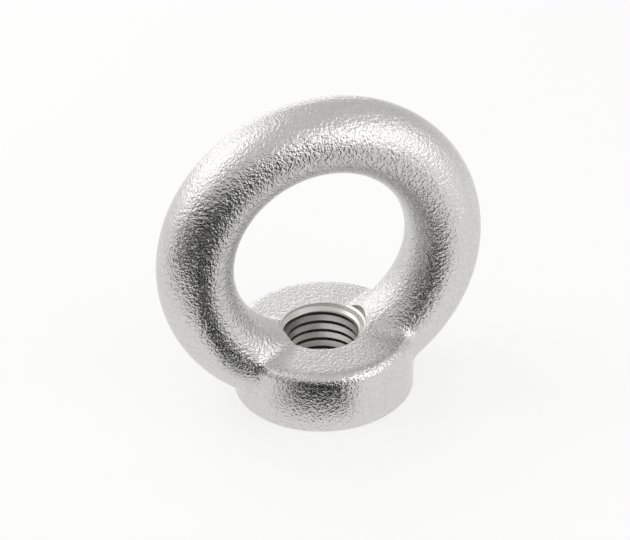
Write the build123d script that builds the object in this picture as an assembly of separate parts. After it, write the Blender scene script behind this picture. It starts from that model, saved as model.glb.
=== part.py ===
from build123d import *
import os
from math import asin, cos, degrees, radians, sin, sqrt, tan

# Lifting eye nut for an M16 stud: one forging, turned under the foot and threaded through the collar.
# Sizes are in millimetres. The nut stands on its foot face with the thread axis as Z, and the ring
# lies in the XZ plane, so the eye is open along Y.

# Ring
eye_height = 62.0  # foot face to the top of the ring
ring_diameter = 64.0
eye_diameter = 35.0
crown_width = 14.0  # width of the ring along Y, at its top
root_width = 17.0  # the same where the ring runs into the collar
trim_width = 2.2  # flat band round the inside of the eye, where the forging's flash was trimmed off

# Collar
collar_diameter = 35.0
collar_rise = 0.5  # the collar's top at the axis, above the lowest point of the eye
collar_fall = 0.5  # forging draft: how far the top drops from the axis to the rim
rim_rounding = 2.2
root_fillet = 3.0  # between the ring and the collar, all the way round each root
foot_edge_break = 0.4

# Threaded hole, plain at the minor diameter of an M16 coarse thread
thread_minor_diameter = 13.835
mouth_diameter = 16.8  # both mouths, just over the thread's major diameter
eye_mouth_angle = 60.0  # included angle of the countersink that opens into the eye
eye_mouth_depth = 0.9  # start of that countersink, below the collar's top at the axis
foot_mouth_angle = 120.0  # included angle of the countersink in the foot face

# Construction
section_count = 17  # sections that the ring is lofted through
buried_angle = 5.0  # from straight down to each end of the loft, deep inside the collar
foot_stock = 1.0  # forged below the foot face and the ring, and turned off
overshoot = 10.0  # how far a cutter runs past what it cuts
on_surface = 0.001  # a point this near to a surface lies on it

ring_centre = eye_height - ring_diameter / 2
ring_thickness = (ring_diameter - eye_diameter) / 2
collar_height = ring_centre - eye_diameter / 2 + collar_rise
forged_foot = min(0, ring_centre - ring_diameter / 2) - foot_stock


def ring_section(angle):
    """One elliptical section of the ring, at an angle from straight down."""
    share_of_root = (1 + cos(radians(angle))) / 2
    half_width = (crown_width + (root_width - crown_width) * share_of_root) / 2
    # The full ellipse would reach a little into the eye, and the trim cuts its inner end off flat.
    half_thickness = ring_thickness / (1 + sqrt(1 - (trim_width / 2 / half_width) ** 2))
    outward = (sin(radians(angle)), 0, -cos(radians(angle)))
    along = (cos(radians(angle)), 0, sin(radians(angle)))
    reach = ring_diameter / 2 - half_thickness
    centre = (reach * outward[0], 0, ring_centre + reach * outward[2])
    trimmed = degrees(asin(trim_width / 2 / half_width))  # ellipse parameter from its inner end to the flat
    inner_arcs = [
        EllipticalCenterArc((0, 0), half_thickness, half_width, start_angle=start, arc_size=90 - trimmed)
        for start in (90, 180 + trimmed)
    ]
    flat = Line(inner_arcs[0] @ 1, inner_arcs[1] @ 0)
    outer_half = EllipticalCenterArc((0, 0), half_thickness, half_width, start_angle=270, arc_size=180)
    return Plane(centre, x_dir=outward, z_dir=along) * make_face([*inner_arcs, flat, outer_half])


def ring():
    """The ring, open at the bottom where both ends are buried in the collar, with its trimmed band."""
    step = (360 - 2 * buried_angle) / (section_count - 1)
    return loft([ring_section(buried_angle + step * i) for i in range(section_count)])


def collar():
    """The round collar as forged, with its drafted top and rounded rim."""
    radius = collar_diameter / 2
    outline = Polyline(
        (0, forged_foot),
        (radius, forged_foot),
        (radius, collar_height - collar_fall),
        (0, collar_height),
        close=True,
    )
    blank = revolve(make_face(Plane.XZ * outline), Axis.Z)
    rim = blank.edges().filter_by(GeomType.CIRCLE).sort_by(Axis.Z)[-1]
    return fillet(rim, rim_rounding)


def hole():
    """The bore and its two countersinks, as one turned shape."""
    bore = thread_minor_diameter / 2
    mouth = mouth_diameter / 2
    foot_depth = (mouth - bore) / tan(radians(foot_mouth_angle / 2))
    eye_start = collar_height - eye_mouth_depth
    eye_end = eye_start + (mouth - bore) / tan(radians(eye_mouth_angle / 2))
    outline = Polyline(
        (0, forged_foot - overshoot),
        (mouth, forged_foot - overshoot),
        (mouth, 0),
        (bore, foot_depth),
        (bore, eye_start),
        (mouth, eye_end),
        (mouth, eye_end + overshoot),
        (0, eye_end + overshoot),
        close=True,
    )
    return revolve(make_face(Plane.XZ * outline), Axis.Z)


def junction_edges(body, *solids):
    """The edges of the body that lie on the surfaces of all these solids."""

    def on_all(edge):
        middle = Vertex(*edge.position_at(0.5))
        return all(solid.shell().distance_to(middle) < on_surface for solid in solids)

    return body.edges().filter_by(on_all)


def eye_nut():
    """The ring and the collar as one solid: bored, blended, faced underneath and its foot edge broken."""
    ring_solid = ring()
    collar_solid = collar()
    body = ring_solid + collar_solid - hole()
    body = fillet(junction_edges(body, ring_solid, collar_solid), root_fillet)
    body = split(body, Plane.XY, keep=Keep.TOP)
    foot = body.faces().sort_by(Axis.Z)[0]
    return chamfer(foot.outer_wire().edges(), foot_edge_break)


os.makedirs("parts", exist_ok=True)
export_step(eye_nut(), "parts/eye_nut.step")
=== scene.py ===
from math import cos, pi, radians, sin, tan

import bmesh
import bpy
from mathutils import Matrix, Vector, noise


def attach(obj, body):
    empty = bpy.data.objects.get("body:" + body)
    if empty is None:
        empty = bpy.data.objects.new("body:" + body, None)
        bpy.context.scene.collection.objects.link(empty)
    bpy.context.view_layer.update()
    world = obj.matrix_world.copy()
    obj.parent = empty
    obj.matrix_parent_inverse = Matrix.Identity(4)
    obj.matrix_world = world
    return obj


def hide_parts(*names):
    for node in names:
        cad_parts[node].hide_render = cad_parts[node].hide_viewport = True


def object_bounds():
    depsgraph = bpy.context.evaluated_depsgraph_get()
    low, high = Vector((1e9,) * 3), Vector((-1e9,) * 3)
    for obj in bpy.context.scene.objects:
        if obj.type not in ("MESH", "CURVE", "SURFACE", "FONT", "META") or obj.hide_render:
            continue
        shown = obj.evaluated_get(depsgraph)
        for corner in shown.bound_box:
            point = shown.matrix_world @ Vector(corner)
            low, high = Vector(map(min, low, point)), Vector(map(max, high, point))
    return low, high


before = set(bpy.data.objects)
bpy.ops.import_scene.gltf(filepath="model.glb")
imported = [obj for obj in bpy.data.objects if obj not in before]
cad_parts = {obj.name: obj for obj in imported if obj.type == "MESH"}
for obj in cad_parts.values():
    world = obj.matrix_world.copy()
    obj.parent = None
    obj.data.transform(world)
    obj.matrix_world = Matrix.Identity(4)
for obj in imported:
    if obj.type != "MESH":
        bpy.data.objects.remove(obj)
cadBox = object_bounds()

mm = 0.001
print("frame loaded: lifting eye nut")


# Small helpers

def linear(hexColour):
    # sRGB hex to the linear values that shaders take
    parts = [int(hexColour[i:i + 2], 16) / 255 for i in (1, 3, 5)]
    return tuple(p / 12.92 if p <= 0.04045 else ((p + 0.055) / 1.055) ** 2.4 for p in parts) + (1.0,)


def addNode(tree, kind, settings=None, values=None, links=None):
    # one node, with its settings, its socket values and what feeds it
    node = tree.nodes.new(kind)
    for name, value in (settings or {}).items():
        setattr(node, name, value)
    for socket, value in (values or {}).items():
        node.inputs[socket].default_value = value
    for socket, source in (links or {}).items():
        tree.links.new(source, node.inputs[socket])
    return node


def linkObject(name, mesh):
    obj = bpy.data.objects.new(name, mesh)
    bpy.context.scene.collection.objects.link(obj)
    return obj


def appliedMesh(obj, name):
    # the object as its modifiers leave it, as a plain mesh
    evaluated = obj.evaluated_get(bpy.context.evaluated_depsgraph_get())
    mesh = bpy.data.meshes.new_from_object(evaluated)
    mesh.name = name
    return mesh


def dropObject(obj):
    mesh = obj.data
    bpy.data.objects.remove(obj)
    bpy.data.meshes.remove(mesh)


def lathe(name, outline, steps, material):
    # a solid turned about Z from an outline of (radius, height) in mm that starts and ends on the axis
    mesh = bpy.data.meshes.new(name)
    work = bmesh.new()
    poles = [work.verts.new((0, 0, z * mm)) for r, z in (outline[0], outline[-1])]
    turns = [2 * pi * i / steps for i in range(steps)]
    rings = []
    for r, z in outline[1:-1]:
        rings.append([work.verts.new((r * mm * cos(turn), r * mm * sin(turn), z * mm)) for turn in turns])
    for i in range(steps):
        j = (i + 1) % steps
        work.faces.new((poles[0], rings[0][j], rings[0][i]))
        work.faces.new((poles[1], rings[-1][i], rings[-1][j]))
        for low, high in zip(rings, rings[1:]):
            work.faces.new((low[i], low[j], high[j], high[i]))
    bmesh.ops.recalc_face_normals(work, faces=work.faces)
    work.to_mesh(mesh)
    work.free()
    mesh.materials.append(material)
    return linkObject(name, mesh)


# Materials

def makeMaterial(name):
    material = bpy.data.materials.new(name)
    material.use_nodes = True
    tree = material.node_tree
    tree.nodes.clear()
    output = addNode(tree, "ShaderNodeOutputMaterial")
    shader = addNode(tree, "ShaderNodeBsdfPrincipled", values={"Metallic": 1.0})
    tree.links.new(shader.outputs[0], output.inputs["Surface"])
    return material, tree, shader


blastedSkin = {
    "steel": "#DEDDDB",
    "shade": "#C6C5C4",        # between the high spots
    "roughness": (0.23, 0.33),
    "grainSize": 0.60,         # mm, pits, drawn coarser than the grit leaves them, so that they show
    "grainDepth": 0.135,       # mm
    "grainDetail": 1.5,        # finer octaves in the grain
    "grainFade": 0.45,         # how much of each octave the next one keeps
    "pitDepth": 0.08,          # mm
    "pitSoftness": 0.6,
    "gritSize": 0.30,          # mm, the finer bite between the pits, drawn coarser too
    "gritDepth": 0.07,         # mm
    "gritDetail": 1.0,
    "patchSize": 9.0,          # mm, of the slow change in roughness
    "patchDetail": 3.0,
    "partingWidth": 0.45,      # mm, each side of the line that the two dies leave
    "partingHeight": 0.05,     # mm
}


def blastedStainless():
    # 316 stainless, forged and bead blasted: soft, broken reflections with a fine orange-peel grain
    skin = blastedSkin
    material, tree, shader = makeMaterial("blastedStainless")
    place = addNode(tree, "ShaderNodeTexCoord").outputs["Object"]
    grain = addNode(tree, "ShaderNodeTexNoise", values={
        "Scale": 1 / (skin["grainSize"] * mm), "Detail": skin["grainDetail"], "Roughness": skin["grainFade"],
    }, links={"Vector": place})
    pits = addNode(tree, "ShaderNodeTexVoronoi", {"feature": "SMOOTH_F1"}, {
        "Scale": 1 / (skin["grainSize"] * mm), "Smoothness": skin["pitSoftness"],
    }, {"Vector": place})
    grit = addNode(tree, "ShaderNodeTexNoise", values={
        "Scale": 1 / (skin["gritSize"] * mm), "Detail": skin["gritDetail"],
    }, links={"Vector": place})
    patches = addNode(tree, "ShaderNodeTexNoise", values={
        "Scale": 1 / (skin["patchSize"] * mm), "Detail": skin["patchDetail"],
    }, links={"Vector": place})

    # the parting line runs round the ring at Y = 0, and comes and goes with the patches
    across = addNode(tree, "ShaderNodeSeparateXYZ", links={0: place}).outputs["Y"]
    fromLine = addNode(tree, "ShaderNodeMath", {"operation": "ABSOLUTE"}, links={0: across})
    parting = addNode(tree, "ShaderNodeMapRange", {"interpolation_type": "SMOOTHSTEP"}, {
        "From Max": skin["partingWidth"] * mm, "To Min": skin["partingHeight"] * mm, "To Max": 0.0,
    }, {"Value": fromLine.outputs[0]})
    line = addNode(tree, "ShaderNodeMath", {"operation": "MULTIPLY"},
                   links={0: parting.outputs["Result"], 1: patches.outputs["Fac"]})

    # heights added up in metres, so that one bump node draws them at their true depth
    bitten = addNode(tree, "ShaderNodeMath", {"operation": "MULTIPLY_ADD"}, {1: skin["gritDepth"] * mm},
                     {0: grit.outputs["Fac"], 2: line.outputs[0]})
    pitted = addNode(tree, "ShaderNodeMath", {"operation": "MULTIPLY_ADD"}, {1: skin["pitDepth"] * mm},
                     {0: pits.outputs["Distance"], 2: bitten.outputs[0]})
    height = addNode(tree, "ShaderNodeMath", {"operation": "MULTIPLY_ADD"}, {1: skin["grainDepth"] * mm},
                     {0: grain.outputs["Fac"], 2: pitted.outputs[0]})
    bump = addNode(tree, "ShaderNodeBump", values={"Strength": 1.0, "Distance": 1.0},
                   links={"Height": height.outputs[0]})
    tint = addNode(tree, "ShaderNodeMix", {"data_type": "RGBA"},
                   {"A": linear(skin["shade"]), "B": linear(skin["steel"])},
                   {"Factor": grain.outputs["Fac"]})
    low, high = skin["roughness"]
    rough = addNode(tree, "ShaderNodeMapRange", values={"To Min": low, "To Max": high},
                    links={"Value": patches.outputs["Fac"]})
    tree.links.new(tint.outputs["Result"], shader.inputs["Base Color"])
    tree.links.new(rough.outputs["Result"], shader.inputs["Roughness"])
    tree.links.new(bump.outputs["Normal"], shader.inputs["Normal"])
    return material


turnedFinish = {
    "steel": "#E0DEDA",
    # brownish painted shade for the roots of the thread
    "grooveShade": "#B4ABA4",
    "roughness": 0.36,
    "markSpacing": 0.754,      # mm between tool marks, drawn coarser than the real feed, so that they show
    "markDepth": 0.002,        # mm
    "markWander": 0.4,
    "markDetail": 1.0,
    "grooveShadeRadius": (7.45, 8.0),  # mm, where the painted shade starts and where it is full
    "grooveShadeFoot": (0.9, 1.2),     # mm above the foot face, where the painted shade starts and where it is full
    "grooveShadeTop": (11.0, 11.6),    # mm above the foot face, where the painted shade thins out and where it ends
}
waveTurn = 20                  # radians that the wave texture turns through in one unit of its scale


def turnedStainless():
    # the same stainless, turned and tapped: smoother and even, with faint rings round the axis, and brownish
    # painted shade deep in the thread, towards its roots
    finish = turnedFinish
    material, tree, shader = makeMaterial("turnedStainless")
    place = addNode(tree, "ShaderNodeTexCoord").outputs["Object"]
    marks = addNode(tree, "ShaderNodeTexWave", {"wave_type": "RINGS", "rings_direction": "Z"}, {
        "Scale": 2 * pi / (waveTurn * finish["markSpacing"] * mm), "Distortion": finish["markWander"],
        "Detail": finish["markDetail"],
    }, {"Vector": place})
    bump = addNode(tree, "ShaderNodeBump", values={"Strength": 1.0, "Distance": finish["markDepth"] * mm},
                   links={"Height": marks.outputs["Fac"]})

    # painted shade far from the axis, towards the thread's roots, and neither at the foot face nor at the
    # countersink
    flat = addNode(tree, "ShaderNodeVectorMath", {"operation": "MULTIPLY"}, {1: (1, 1, 0)}, {0: place})
    radius = addNode(tree, "ShaderNodeVectorMath", {"operation": "LENGTH"}, links={0: flat.outputs[0]})
    height = addNode(tree, "ShaderNodeSeparateXYZ", links={0: place}).outputs["Z"]
    deep = addNode(tree, "ShaderNodeMapRange", {"interpolation_type": "SMOOTHSTEP"}, {
        "From Min": finish["grooveShadeRadius"][0] * mm, "From Max": finish["grooveShadeRadius"][1] * mm,
    }, {"Value": radius.outputs["Value"]})
    belowTop = addNode(tree, "ShaderNodeMapRange", {"interpolation_type": "SMOOTHSTEP"}, {
        "From Min": finish["grooveShadeTop"][0] * mm, "From Max": finish["grooveShadeTop"][1] * mm,
        "To Min": 1.0, "To Max": 0.0,
    }, {"Value": height})
    offFoot = addNode(tree, "ShaderNodeMapRange", {"interpolation_type": "SMOOTHSTEP"}, {
        "From Min": finish["grooveShadeFoot"][0] * mm, "From Max": finish["grooveShadeFoot"][1] * mm,
    }, {"Value": height})
    inHole = addNode(tree, "ShaderNodeMath", {"operation": "MULTIPLY"},
                     links={0: offFoot.outputs["Result"], 1: belowTop.outputs["Result"]})
    grooveShaded = addNode(tree, "ShaderNodeMath", {"operation": "MULTIPLY"},
                   links={0: deep.outputs["Result"], 1: inHole.outputs[0]})
    # steel, with the brownish painted shade mixed in towards the thread's roots
    tint = addNode(tree, "ShaderNodeMix", {"data_type": "RGBA"},
                   {"A": linear(finish["steel"]), "B": linear(finish["grooveShade"])}, {"Factor": grooveShaded.outputs[0]})
    shader.inputs["Roughness"].default_value = finish["roughness"]
    tree.links.new(tint.outputs["Result"], shader.inputs["Base Color"])
    tree.links.new(bump.outputs["Normal"], shader.inputs["Normal"])
    return material


# The forged blank: ring and collar as they come out of the die

blankSizes = {
    "wallRadius": 17.5,        # mm, of the collar
    "footRadius": 17.1,        # mm, of the foot face, inside its broken edge
    "footStock": 1.0,          # mm, added under the foot, to be turned off again
    "voxel": 0.36,             # mm, of the remesh that gives the skin an even grain of faces
    "waveSize": 7.0,           # mm, of the slow unevenness of a forged surface
    "waveDepth": 0.05,         # mm
}
mergeDistance = 1e-6           # m, points nearer than this are one
edgeReach = 1e-5               # m, points this near to the foot face's edge lie on it


def forgedBlank(material):
    # the CAD solid with stock under its foot, remeshed to an even skin and made slightly uneven
    sizes = blankSizes
    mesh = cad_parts["eye_nut"].data.copy()
    work = bmesh.new()
    work.from_mesh(mesh)
    bmesh.ops.remove_doubles(work, verts=work.verts, dist=mergeDistance)
    foot = cadBox[0][2]
    for v in work.verts:
        if v.co.z < foot + mergeDistance:
            flat = Vector((v.co.x, v.co.y))
            if flat.length > sizes["footRadius"] * mm - edgeReach:
                v.co.xy = flat.normalized() * sizes["wallRadius"] * mm
            v.co.z = foot - sizes["footStock"] * mm
    work.to_mesh(mesh)
    work.free()
    blank = linkObject("forgedBlank", mesh)
    remesh = blank.modifiers.new("evenSkin", "REMESH")
    remesh.mode = "VOXEL"
    remesh.voxel_size = sizes["voxel"] * mm
    remesh.use_smooth_shade = True
    skin = appliedMesh(blank, "forgedSkin")
    dropObject(blank)
    skin.materials.clear()
    skin.materials.append(material)
    normals = [v.normal.copy() for v in skin.vertices]  # read first, because each move would recompute them
    for v, normal in zip(skin.vertices, normals):
        wave = 0.5 + 0.5 * noise.noise(v.co / (sizes["waveSize"] * mm))
        v.co -= normal * wave * sizes["waveDepth"] * mm
    return linkObject("forgedSkin", skin)


# What is turned and tapped: foot face, edge break, bore, countersinks and thread

turnedSizes = {
    "boreRadius": 6.96,        # mm, also of the thread's crests
    "footMouthRadius": 8.42,
    "footMouthDepth": 0.856,
    "eyeMouthRadius": 8.4,
    "eyeMouthStart": 11.6,     # mm above the foot face
    "eyeMouthAngle": 90,       # degrees, of the countersink that opens into the eye
    "edgeCut": 0.8,            # mm, how far the tool that breaks the foot's edge reaches out and up
    "bottom": -4.0,            # mm, lower end of the tools
    "top": 18.0,               # mm, upper end, above the roots of the ring
    "steps": 192,
    "rimRounding": 0.16,       # mm, of the edge between the turned and the forged surfaces
}
threadSizes = {
    "pitch": 2.0,              # mm
    "outerRadius": 8.02,       # mm, bottom of the groove
    "innerRun": 0.3,           # mm, how far the ridge reaches into the bore, so that the cut leaves no film
    "innerWidth": 0.35,        # mm, of the ridge at its inner end
    "below": 3.4,              # mm, run of the tap under the foot
    "turns": 10,
    "stepsPerTurn": 96,
}
flankAngle = radians(30)
smoothAngle = radians(32)      # edges sharper than this stay sharp


def turningTool(material):
    sizes = turnedSizes
    bore, eyeMouth = sizes["boreRadius"], sizes["eyeMouthRadius"]
    foot, cut = blankSizes["footRadius"], sizes["edgeCut"]
    eyeMouthEnd = sizes["eyeMouthStart"] + (eyeMouth - bore) / tan(radians(sizes["eyeMouthAngle"] / 2))
    outline = [
        (0, sizes["bottom"]),
        (foot + cut, sizes["bottom"]),
        (foot + cut, cut),
        (foot, 0),
        (sizes["footMouthRadius"], 0),
        (bore, sizes["footMouthDepth"]),
        (bore, sizes["eyeMouthStart"]),
        (eyeMouth, eyeMouthEnd),
        (eyeMouth, sizes["top"]),
        (0, sizes["top"]),
    ]
    return lathe("turningTool", outline, sizes["steps"], material)


def threadTree():
    # Geometry Nodes: the ridge that cuts the thread, a trapezoid swept along a right-hand helix. Its narrow
    # side faces the axis, so the groove is undercut. A true thread has the two widths the other way round.
    tree = bpy.data.node_groups.new("threadRidge", "GeometryNodeTree")
    inputs = {
        "Pitch": "NodeSocketFloat",
        "Inner Radius": "NodeSocketFloat",
        "Outer Radius": "NodeSocketFloat",
        "Inner Width": "NodeSocketFloat",
        "Turns": "NodeSocketFloat",
        "Start Height": "NodeSocketFloat",
        "Steps Per Turn": "NodeSocketInt",
        "Material": "NodeSocketMaterial",
    }
    for name, kind in inputs.items():
        tree.interface.new_socket(name, in_out="INPUT", socket_type=kind)
    tree.interface.new_socket("Geometry", in_out="OUTPUT", socket_type="NodeSocketGeometry")
    given = addNode(tree, "NodeGroupInput").outputs
    height = addNode(tree, "ShaderNodeMath", {"operation": "MULTIPLY"},
                     links={0: given["Pitch"], 1: given["Turns"]})
    depth = addNode(tree, "ShaderNodeMath", {"operation": "SUBTRACT"},
                    links={0: given["Outer Radius"], 1: given["Inner Radius"]})
    outerWidth = addNode(tree, "ShaderNodeMath", {"operation": "MULTIPLY_ADD"}, {1: 2 * tan(flankAngle)},
                         {0: depth.outputs[0], 2: given["Inner Width"]})
    middle = addNode(tree, "ShaderNodeMath", {"operation": "MULTIPLY_ADD"}, {1: 0.5},
                     {0: depth.outputs[0], 2: given["Inner Radius"]})
    helix = addNode(tree, "GeometryNodeCurveSpiral", values={"Reverse": True}, links={
        "Resolution": given["Steps Per Turn"], "Rotations": given["Turns"], "Height": height.outputs[0],
        "Start Radius": middle.outputs[0], "End Radius": middle.outputs[0],
    })
    upright = addNode(tree, "GeometryNodeSetCurveNormal", {"mode": "Z_UP"},
                      links={"Curve": helix.outputs[0]})
    profile = addNode(tree, "GeometryNodeCurvePrimitiveQuadrilateral", {"mode": "TRAPEZOID"},
                      {"Offset": 0.0},
                      {"Height": depth.outputs[0], "Bottom Width": outerWidth.outputs[0],
                       "Top Width": given["Inner Width"]})
    turned = addNode(tree, "GeometryNodeTransform", values={"Rotation": (0, 0, radians(90))},
                     links={"Geometry": profile.outputs[0]})
    ridge = addNode(tree, "GeometryNodeCurveToMesh", values={"Fill Caps": True},
                    links={"Curve": upright.outputs[0], "Profile Curve": turned.outputs[0]})
    start = addNode(tree, "ShaderNodeCombineXYZ", links={"Z": given["Start Height"]})
    placed = addNode(tree, "GeometryNodeTransform",
                     links={"Geometry": ridge.outputs[0], "Translation": start.outputs[0]})
    real = addNode(tree, "GeometryNodeRealizeInstances", links={"Geometry": placed.outputs[0]})
    coated = addNode(tree, "GeometryNodeSetMaterial",
                     links={"Geometry": real.outputs[0], "Material": given["Material"]})
    addNode(tree, "NodeGroupOutput", links={"Geometry": coated.outputs[0]})
    return tree


def threadRidge(material):
    sizes = threadSizes
    holder = linkObject("threadRidgeHolder", bpy.data.meshes.new("threadRidgeHolder"))
    modifier = holder.modifiers.new("threadRidge", "NODES")
    modifier.node_group = threadTree()
    values = {
        "Pitch": sizes["pitch"] * mm,
        "Inner Radius": (turnedSizes["boreRadius"] - sizes["innerRun"]) * mm,
        "Outer Radius": sizes["outerRadius"] * mm,
        "Inner Width": sizes["innerWidth"] * mm,
        "Turns": float(sizes["turns"]),
        "Start Height": -sizes["below"] * mm,
        "Steps Per Turn": sizes["stepsPerTurn"],
        "Material": material,
    }
    for item in modifier.node_group.interface.items_tree:
        if item.in_out == "INPUT":
            modifier[item.identifier] = values[item.name]
    mesh = appliedMesh(holder, "threadRidge")
    dropObject(holder)
    return linkObject("threadRidge", mesh)


def cutAway(body, tool, name):
    # the tool's material comes with the faces that it cuts
    cut = body.modifiers.new("cut", "BOOLEAN")
    cut.operation = "DIFFERENCE"
    cut.solver = "MANIFOLD"
    cut.material_mode = "TRANSFER"
    cut.object = tool
    mesh = appliedMesh(body, name)
    dropObject(body)
    dropObject(tool)
    return linkObject(name, mesh)


def roundedRims(body, material):
    # the rim that each tool leaves in the forged skin, worn round, so that it catches the light
    work = bmesh.new()
    work.from_mesh(body.data)
    weight = work.edges.layers.float.new("bevel_weight_edge")
    for edge in work.edges:
        if len({face.material_index for face in edge.link_faces}) == 2:
            edge[weight] = 1.0
    work.to_mesh(body.data)
    work.free()
    bevel = body.modifiers.new("rimRounding", "BEVEL")
    bevel.width = turnedSizes["rimRounding"] * mm
    bevel.segments = 2
    bevel.limit_method = "WEIGHT"
    bevel.material = body.data.materials.find(material.name)
    mesh = appliedMesh(body, "eyeNutBody")
    dropObject(body)
    return linkObject("eyeNutBody", mesh)


def eyeNut():
    blasted = blastedStainless()
    turned = turnedStainless()
    body = forgedBlank(blasted)
    print("forged blank:", len(body.data.polygons), "faces")
    body = cutAway(body, turningTool(turned), "turnedBody")
    print("turned:", len(body.data.polygons), "faces")
    body = cutAway(body, threadRidge(turned), "tappedBody")
    print("tapped:", len(body.data.polygons), "faces")
    body = roundedRims(body, turned)
    print("rims rounded:", len(body.data.polygons), "faces")
    body.data.shade_smooth()
    body.data.set_sharp_from_angle(angle=smoothAngle)
    return body


nut = eyeNut()
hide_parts("eye_nut")
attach(nut, "root")


# Stage: floor, light and camera

stageSizes = {
    "floor": "#F6F6F5",
    "floorSize": 4000,         # mm
    "floorWhite": 0.69,        # share of plain white in the floor, as the camera sees it
    "floorGlow": 0.95,         # the same, as the metal sees it
    "paperRoughness": 0.9,
    "backdrop": "#FFFFFF",
    "room": "#DCDCDB",         # what the metal sees between the softboxes and the cards
    "card": "#07070A",
    "cardRoughness": 1.0,
    "holeFloorRadius": 8,      # mm
    "holeFloorShift": -1,      # mm along X
    "holeFloorHeight": 0.1,    # mm above the floor
    "holeFloorStep": 30,       # degrees between its corners
}
softboxes = {                  # place and aim in mm, size in mm, power in W
    "leftSoftbox": {"place": (-280, 165, 295), "aim": (0, 0, 35), "size": (480, 410), "power": 0.64},
    "frontSoftbox": {"place": (166, -280, 150), "aim": (0, 0, 45), "size": (250, 170), "power": 0.235},
    "rightSoftbox": {"place": (300, -130, 210), "aim": (0, 0, 20), "size": (180, 180), "power": 0.09},
    "backSoftbox": {"place": (0, 440, 105), "aim": (0, 0, 20), "size": (400, 160), "power": 0.26},
}
darkCards = {                  # corners in mm
    "floorCard": [
        (-23, -12, 1), (-18, -17, 1), (-10, -21.5, 1), (2, -24, 1), (4, -34, 1), (0, -45, 1), (22, -90, 1),
        (55, -245, 1), (-320, -110, 1), (-320, 60, 1), (-150, -10, 1), (-120, -45, 1), (-44, -50, 1),
        (-30, -26, 1),
    ],
    "frontCard": [(-320, -110, 0), (35, -250, 0), (35, -250, 90), (-320, -110, 100)],
    "leftCard": [(-320, 60, 0), (-320, -110, 0), (-320, -110, 70), (-320, 60, 40)],
}


def paper(name, colour, roughness):
    # uncoated sheet: matt all over, with no shine of its own
    material, tree, shader = makeMaterial(name)
    shader.inputs["Metallic"].default_value = 0.0
    shader.inputs["Roughness"].default_value = roughness
    shader.inputs["Base Color"].default_value = linear(colour)
    return material


def flatPiece(name, corners, material):
    mesh = bpy.data.meshes.new(name)
    mesh.from_pydata([Vector(corner) * mm for corner in corners], [], [tuple(range(len(corners)))])
    mesh.materials.append(material)
    piece = linkObject(name, mesh)
    return piece


def stageFloor():
    # white paper, lifted towards plain white where the camera and the metal see it; its shadow stays
    stage = stageSizes
    half = stage["floorSize"] / 2
    material = paper("whitePaperSweep", stage["floor"], stage["paperRoughness"])
    flatPiece("floor", [(-half, -half, 0), (half, -half, 0), (half, half, 0), (-half, half, 0)], material)
    tree = material.node_tree
    shader = tree.nodes["Principled BSDF"]
    output = tree.nodes["Material Output"]
    ray = addNode(tree, "ShaderNodeLightPath")
    seen = addNode(tree, "ShaderNodeMath", {"operation": "MULTIPLY"}, {1: stage["floorWhite"]},
                   {0: ray.outputs["Is Camera Ray"]})
    lift = addNode(tree, "ShaderNodeMath", {"operation": "MULTIPLY_ADD"}, {1: stage["floorGlow"]},
                   {0: ray.outputs["Is Glossy Ray"], 2: seen.outputs[0]})
    white = addNode(tree, "ShaderNodeEmission", values={"Color": linear(stage["backdrop"]), "Strength": 1.0})
    mix = addNode(tree, "ShaderNodeMixShader",
                  links={0: lift.outputs[0], 1: shader.outputs[0], 2: white.outputs[0]})
    tree.links.new(mix.outputs[0], output.inputs["Surface"])


def stageHoleFloor():
    # plain paper under the right half of the hole, without the glow that the open floor has in the metal
    stage = stageSizes
    radius, shift, height = (stage["holeFloor" + part] for part in ("Radius", "Shift", "Height"))
    angles = [radians(angle) for angle in range(-90, 91, stage["holeFloorStep"])]
    corners = [(radius * cos(angle) + shift, radius * sin(angle), height) for angle in angles]
    disc = flatPiece("holeFloor", corners, paper("whitePaper", stage["floor"], stage["paperRoughness"]))
    disc.visible_camera = False
    disc.visible_diffuse = False
    disc.visible_shadow = False


def stageCards():
    # black flocked cards, as a photographer sets them, which only the metal sees
    material = paper("blackFlockedCard", stageSizes["card"], stageSizes["cardRoughness"])
    for name, corners in darkCards.items():
        card = flatPiece(name, corners, material)
        card.visible_camera = False
        card.visible_diffuse = False
        card.visible_shadow = False


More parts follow.
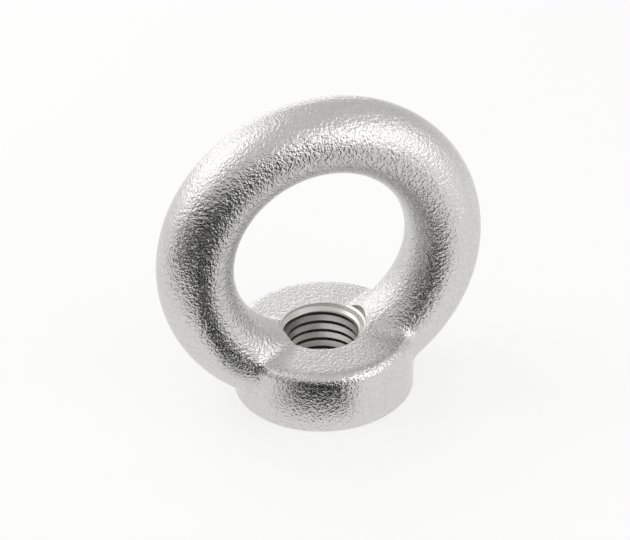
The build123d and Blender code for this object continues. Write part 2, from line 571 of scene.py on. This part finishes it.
def stageLights():
    world = bpy.data.worlds.new("studio")
    bpy.context.scene.world = world
    world.use_nodes = True
    tree = world.node_tree
    tree.nodes.clear()
    back = addNode(tree, "ShaderNodeBackground", values={"Color": linear(stageSizes["backdrop"])})
    room = addNode(tree, "ShaderNodeBackground", values={"Color": linear(stageSizes["room"])})
    ray = addNode(tree, "ShaderNodeLightPath")
    mix = addNode(tree, "ShaderNodeMixShader",
                  links={0: ray.outputs["Is Camera Ray"], 1: room.outputs[0], 2: back.outputs[0]})
    addNode(tree, "ShaderNodeOutputWorld", links={"Surface": mix.outputs[0]})
    for name, box in softboxes.items():
        lamp = bpy.data.lights.new(name, "AREA")
        lamp.shape = "RECTANGLE"
        lamp.size, lamp.size_y = (side * mm for side in box["size"])
        lamp.energy = box["power"]
        obj = bpy.data.objects.new(name, lamp)
        obj.location = Vector(box["place"]) * mm
        obj.rotation_euler = (Vector(box["aim"]) - Vector(box["place"])).to_track_quat("-Z", "Y").to_euler()
        bpy.context.scene.collection.objects.link(obj)


cameraView = {
    "azimuth": -17.78,         # degrees
    "elevation": 32.73,
    "roll": -1.61,
    "distance": 500.0,         # mm
    "target": (0, 0, 28.0),
    "slide": (1.07, 2.11),     # mm, of the picture's centre from the target
    "focal": 2638.68,          # pixels
    "pictureWidth": 630,
}


def stageCamera():
    view = cameraView
    azimuth, elevation, roll = (radians(view[name]) for name in ("azimuth", "elevation", "roll"))
    back = Vector((sin(azimuth) * cos(elevation), -cos(azimuth) * cos(elevation), sin(elevation)))
    levelRight = Vector((cos(azimuth), sin(azimuth), 0))
    levelUp = back.cross(levelRight)
    right = cos(roll) * levelRight + sin(roll) * levelUp
    up = cos(roll) * levelUp - sin(roll) * levelRight
    slideRight, slideUp = view["slide"]
    place = Vector(view["target"]) + back * view["distance"] - right * slideRight - up * slideUp
    data = bpy.data.cameras.new("camera")
    data.lens = view["focal"] * data.sensor_width / view["pictureWidth"]
    camera = bpy.data.objects.new("camera", data)
    camera.matrix_world = Matrix.Translation(place * mm) @ Matrix((right, up, back)).transposed().to_4x4()
    bpy.context.scene.collection.objects.link(camera)
    bpy.context.scene.camera = camera


stageFloor()
stageHoleFloor()
stageCards()
stageLights()
stageCamera()
bpy.context.scene.view_settings.view_transform = "Standard"
print("stage set")
